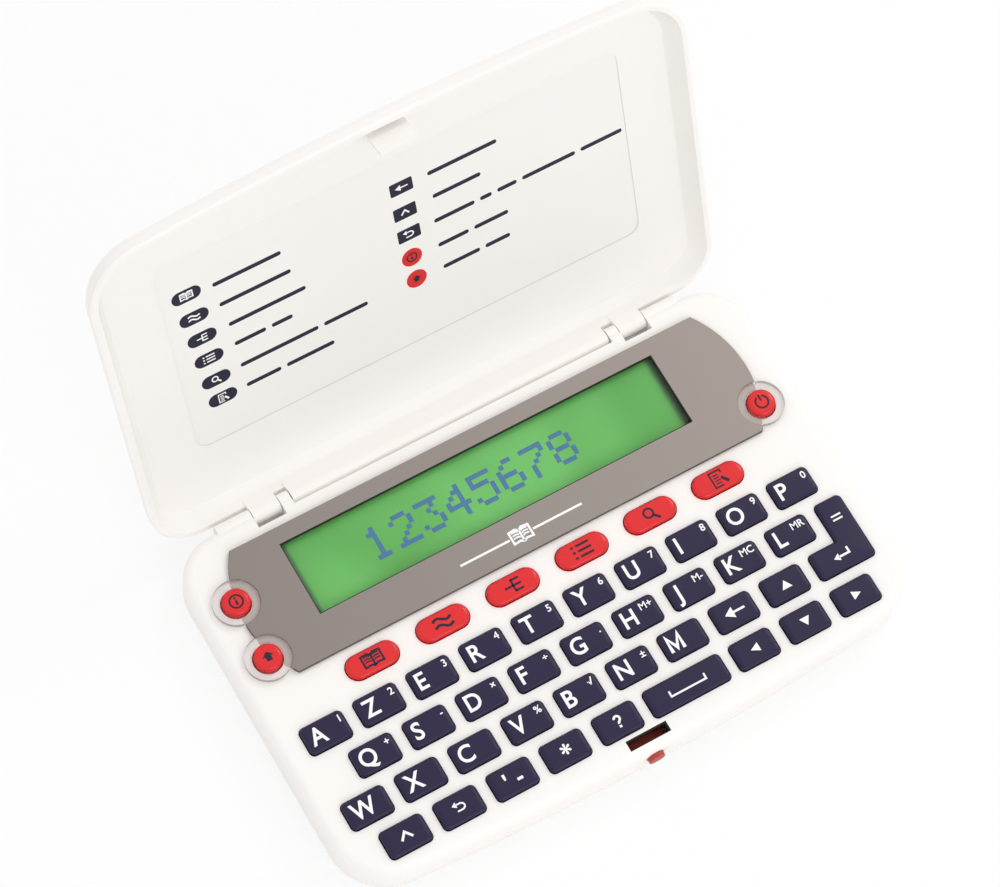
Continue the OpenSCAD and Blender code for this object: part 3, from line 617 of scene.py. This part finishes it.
sign_keys = (
    ("key_delete", sign("arrow", 0, 0, 2.9)), ("key_up", sign("triangle_up", 0, 0, 2.2)),
    ("key_control", sign("caret", 0, 0, 2.6)), ("key_function", sign("back", 0, 0, 2.0)),
    ("key_symbols", [letters("'", -1.5, -0.2, 2.9, BOLD), letters("-", 1.2, -0.1, 2.9, BOLD)]),
    ("key_star", [letters("*", 0, -0.6, 3.2, BOLD)]), ("key_query", sign("query", 0, 0, 2.25)),
    ("key_left", sign("triangle_left", 0, 0, 2.15)), ("key_down", sign("triangle_down", 0, 0, 2.15)),
    ("key_right", sign("triangle_right", 0, 0, 2.15)), ("key_space", sign("space", 0, 0, 2.4)))
for name, marks in sign_keys:
    dress(navy_plastic, name)
    key_print(name, marks, white_ink, "navy_key")

# Enter key: the same navy plastic, moulded as an L over two rows, with two signs.
dress(navy_plastic, "key_enter")
return_place, equals_place = (51.6, -22.7), (3.15, 7.0)
equals = lines(*(([(-1.05, y), (1.05, y)], 0.36) for y in (0.42, -0.42)))
for mesh in equals:
    mesh.transform(Matrix.Translation((*equals_place, 0)))
key_print("key_enter", equals + sign("return", 0, 0, 2.4), white_ink, "navy_key", *return_place)

# Mode keys and side keys: hard red plastic caps, moulded with a gloss and printed with navy signs.
# The six mode keys are ovals above the letters, and the three side keys stand in the clear collars.
# Their grain is no texture but the faint waviness of a glossy moulding.
red_plastic = moulded_plastic("red_key_plastic", "#e4151b", "#dc1218", rough=(0.22, 0.32), grain=1.6,
                              relief=0.002)
red_key_ink = ink("navy_print_on_red", "#18062a")
red_keys = [(f"mode_key_{number}", kind, 3.2)
            for number, kind in enumerate(("book", "alike", "branch", "list", "lens", "notepad"), 1)]
red_keys += [("key_help", "info", 2.8), ("key_shift", "up", 2.1), ("key_power", "power", 2.8)]
for name, kind, size in red_keys:
    dress(red_plastic, name)
    key_print(name, sign(kind, 0, 0, size), red_key_ink, "red_key")

# Release button and catch: one moulding in dull red plastic, whose oval end stands out of the front
# wall. Its colour looks deeper in the slot, where little light reaches it.
button_red = moulded_plastic("red_button_plastic", "#b33c2d", "#a73527", rough=(0.42, 0.52), grain=0.4)
dress(button_red, "release_button")

# Latch slot shade: a thin black frame in the slot in the top face, wider at the rear and the right end, is
# painted shade, with the shadow of those walls. It makes the slot a dark opening.
slot_painted_shade = moulded_plastic("black_slot_painted_shade", "#060706", "#040504", rough=(0.7, 0.8))
slot_half = (4.45, 1.1)
slot_shade_thin, slot_shadow_thick, slot_shade_gap = 0.08, 0.32, 0.01
slot_shade_middle, slot_shade_depth = (0, -35.9, 9.2), 1.5


def slot_outline(front, rear, left, right):
    """Corners of the slot's outline, each side set in by its own distance."""
    return [(left - slot_half[0], front - slot_half[1]), (slot_half[0] - right, front - slot_half[1]),
            (slot_half[0] - right, slot_half[1] - rear), (left - slot_half[0], slot_half[1] - rear)]


outer = slot_outline(slot_shade_gap, slot_shade_gap, slot_shade_gap, slot_shade_gap)
inner = slot_outline(slot_shade_thin, slot_shadow_thick, slot_shade_thin, slot_shadow_thick)
plate("latch_slot_shade_frame", [filled([outer, inner], slot_shade_depth)], to_frame(*slot_shade_middle), "base",
      slot_painted_shade)

# Lid: one moulding of the same white ABS as the case, with a dished inside, two hinge knuckles and the
# latch hook. It turns on the two steel pins.
dress(white_abs, "lid_shell", angle=34)

# Legend panel: a printed plastic sheet glued into the dish, slightly creamier than the lid. Its print
# is drawn as on the closed lid, seen from below, and turned open about the hinge.
cream_sheet = moulded_plastic("cream_printed_sheet", "#faf7f4", "#f7f4f0", rough=(0.42, 0.5), grain=0.6,
                              relief=0.004)
dress(cream_sheet, "legend_panel")
hinge = next(j for j in frame["joints"] if j["name"] == "lid_hinge")
axis = Vector(hinge["pos_m"])
opening = Matrix.Rotation(-math.radians(hinge["range_deg"][1]), 4, "X")
opened = Matrix.Translation(axis) @ opening @ Matrix.Translation(-axis)
PANEL_FACE = 14.0
face_down = Matrix(((1, 0, 0, 0), (0, -1, 0, 0), (0, 0, -1, 0), (0, 0, 0, 1)))


def on_panel(level):
    """Places a drawing level mm off the panel. Its x is the case's, and its y runs from the hinge to
    the free edge."""
    return opened @ Matrix.Translation((0, 0, (PANEL_FACE - level) * MM)) @ face_down @ Matrix.Scale(MM, 4)


def rounded_bar(x, y, width, height, radius, steps=6):
    """Outline of a bar with rounded corners, centred on x, y."""
    points = []
    for cx, cy, start in ((1, 1, 0), (-1, 1, 90), (-1, -1, 180), (1, -1, 270)):
        corner_x, corner_y = x + cx * (width / 2 - radius), y + cy * (height / 2 - radius)
        points += ring(corner_x, corner_y, radius, steps, start, 90)
    return points


# Glue bead: a line of white glue round the panel. It closes the gap to the recess in the lid, and
# stands a little above the panel's face.
panel_middle, panel_size, panel_corner = (0, 2.2), (98.2, 48.1), 3
bead = [rounded_bar(*panel_middle, *(side + grow for side in panel_size), panel_corner + grow / 2)
        for grow in (0.7, -0.4)]
plate("legend_glue_bead", [filled(bead, INK)], on_panel(0.1 + ABOVE), "lid", white_abs)

# Legend tags: a printed picture of each key, navy for the mode keys and three other keys, red for two
# of the side keys. White or navy signs are printed over them.
oval_tag, square_tag, disc_radius = (6.0, 3.1, 1.5), (4.8, 3.1, 0.3), 2.15
tags, tag_signs = [], []
for kind, x, y in (("book", -43.5, 16.9), ("alike", -43.1, 10.9), ("branch", -42.6, 5.2),
                   ("list", -42.3, -0.5), ("lens", -42.0, -6.4), ("notepad", -41.6, -11.6)):
    tags.append(filled([rounded_bar(x, y, *oval_tag)], INK))
    tag_signs += sign(kind, x, y, 2.0)
for kind, x, y in (("arrow", 1.7, 17.8), ("caret", 1.5, 11.5), ("back", 1.45, 5.8)):
    tags.append(filled([rounded_bar(x, y, *square_tag)], INK))
    tag_signs += sign(kind, x, y, 1.8)
plate("legend_tags", tags, on_panel(ABOVE), "lid", navy_ink)
plate("legend_tag_signs", tag_signs, on_panel(ABOVE + INK), "lid", white_ink)
help_place, shift_place = (1.1, -0.2), (1.2, -6.0)
discs = [filled([ring(*place, disc_radius, 36)], INK) for place in (help_place, shift_place)]
plate("legend_discs", discs, on_panel(ABOVE), "lid", red_ink)
disc_signs = sign("info", *help_place, 2.2) + sign("up", *shift_place, 1.7)
plate("legend_disc_signs", disc_signs, on_panel(ABOVE + INK), "lid", navy_ink)

# Legend lines: navy print beside each tag, one bar for each word of its explanation. Each row gives its
# left end, its middle height and the lengths of its bars.
rows = ((-38.2, 16.3, (14.2,)), (-37.8, 10.9, (14.9,)), (-37.0, 5.2, (16.2,)), (-36.8, -0.1, (6.6, 4.4)),
        (-36.7, -6.0, (16.6, 9.4)), (-36.5, -11.5, (7.4, 10.2)),
        (7.3, 17.9, (14.8,)), (7.5, 11.9, (10.3,)), (6.9, 5.8, (8.7, 2.5, 4.2, 11.6, 9.1)),
        (6.8, -0.5, (6.6, 7.4)), (7.0, -6.4, (8.0, 5.4)))
bar_height, bar_corner, word_gap = 0.95, 0.45, 1.25
bars = []
for x, y, words in rows:
    for width in words:
        bars.append(filled([rounded_bar(x + width / 2, y, width, bar_height, bar_corner, 4)], INK))
        x += width + word_gap
plate("legend_lines", bars, on_panel(ABOVE), "lid", navy_ink)

# Studio: a floor of white paper, a white world, a small soft lamp high at the right and a larger one in
# front. To the camera the floor is mostly plain white, and a quarter of it is lit paper with the shadow.
floor_half = 4
floor_mesh = bpy.data.meshes.new("studio_floor")
floor_corners = [(floor_half * x, floor_half * y, 0) for x, y in ((-1, -1), (1, -1), (1, 1), (-1, 1))]
floor_mesh.from_pydata(floor_corners, [], [(0, 1, 2, 3)])
floor = bpy.data.objects.new("studio_floor", floor_mesh)
floor.location.z = -0.05 * MM
bpy.context.scene.collection.objects.link(floor)
paper = bpy.data.materials.new("white_studio_paper")
paper.use_nodes = True
tree = paper.node_tree
diffuse = tree.nodes["Principled BSDF"]
diffuse.inputs["Base Color"].default_value = linear("#f7f7f7")
diffuse.inputs["Roughness"].default_value = 0.9
glow = add_node(tree, "ShaderNodeEmission", {"Color": (1, 1, 1, 1), "Strength": 1.0})
rays = add_node(tree, "ShaderNodeLightPath")
plain_share = 0.75
seen = add_node(tree, "ShaderNodeMath", {0: rays.outputs["Is Camera Ray"], 1: plain_share},
                operation="MULTIPLY")
blend = add_node(tree, "ShaderNodeMixShader",
                 {0: seen.outputs["Value"], 1: diffuse.outputs["BSDF"], 2: glow.outputs["Emission"]})
tree.links.new(blend.outputs["Shader"], tree.nodes["Material Output"].inputs["Surface"])
floor_mesh.materials.append(paper)

world = bpy.data.worlds.new("studio_white")
bpy.context.scene.world = world
world.use_nodes = True
tree = world.node_tree
sky = tree.nodes["Background"]
sky.inputs["Color"].default_value = (1, 1, 1, 1)
rays = add_node(tree, "ShaderNodeLightPath")
sky_light = 0.88
strength = add_node(tree, "ShaderNodeMapRange",
                    {"Value": rays.outputs["Is Camera Ray"], "To Min": sky_light, "To Max": 1.0})
tree.links.new(strength.outputs["Result"], sky.inputs["Strength"])


def soft_lamp(name, place, size, power):
    """Square softbox aimed at the middle of the dictionary."""
    light = bpy.data.lights.new(name, "AREA")
    light.size = size
    light.energy = power
    lamp = bpy.data.objects.new(name, light)
    bpy.context.scene.collection.objects.link(lamp)
    lamp.location = place
    lamp.rotation_euler = (Vector((0, 0, 0.02)) - Vector(place)).to_track_quat("-Z", "Y").to_euler()


soft_lamp("soft_lamp_right", (0.75, 0.35, 0.85), 0.3, 1.8)
soft_lamp("soft_lamp_front", (0.1, -0.95, 0.75), 0.6, 2.0)

# Camera: the photograph's place and angle, about 0.7 m above the floor and to the front left, with a
# long lens. Its three axes and its place were fitted to the photograph.
camera_data = bpy.data.cameras.new("photo_camera")
camera_data.lens = 138.12
camera_data.sensor_width = 36
camera_data.clip_start = 0.05
camera_data.clip_end = 20
camera = bpy.data.objects.new("photo_camera", camera_data)
bpy.context.scene.collection.objects.link(camera)
right = Vector((0.86141, -0.50154, 0.08019))
down = Vector((-0.43963, -0.81532, -0.37679))
ahead = Vector((0.25436, 0.28931, -0.92282))
turn = Matrix((right, -down, -ahead)).transposed().to_4x4()
camera_place = (-0.18363, -0.18599, 0.69528)
camera.matrix_world = Matrix.Translation(camera_place) @ turn
bpy.context.scene.camera = camera
bpy.context.scene.view_settings.view_transform = "Standard"

bpy.context.view_layer.update()
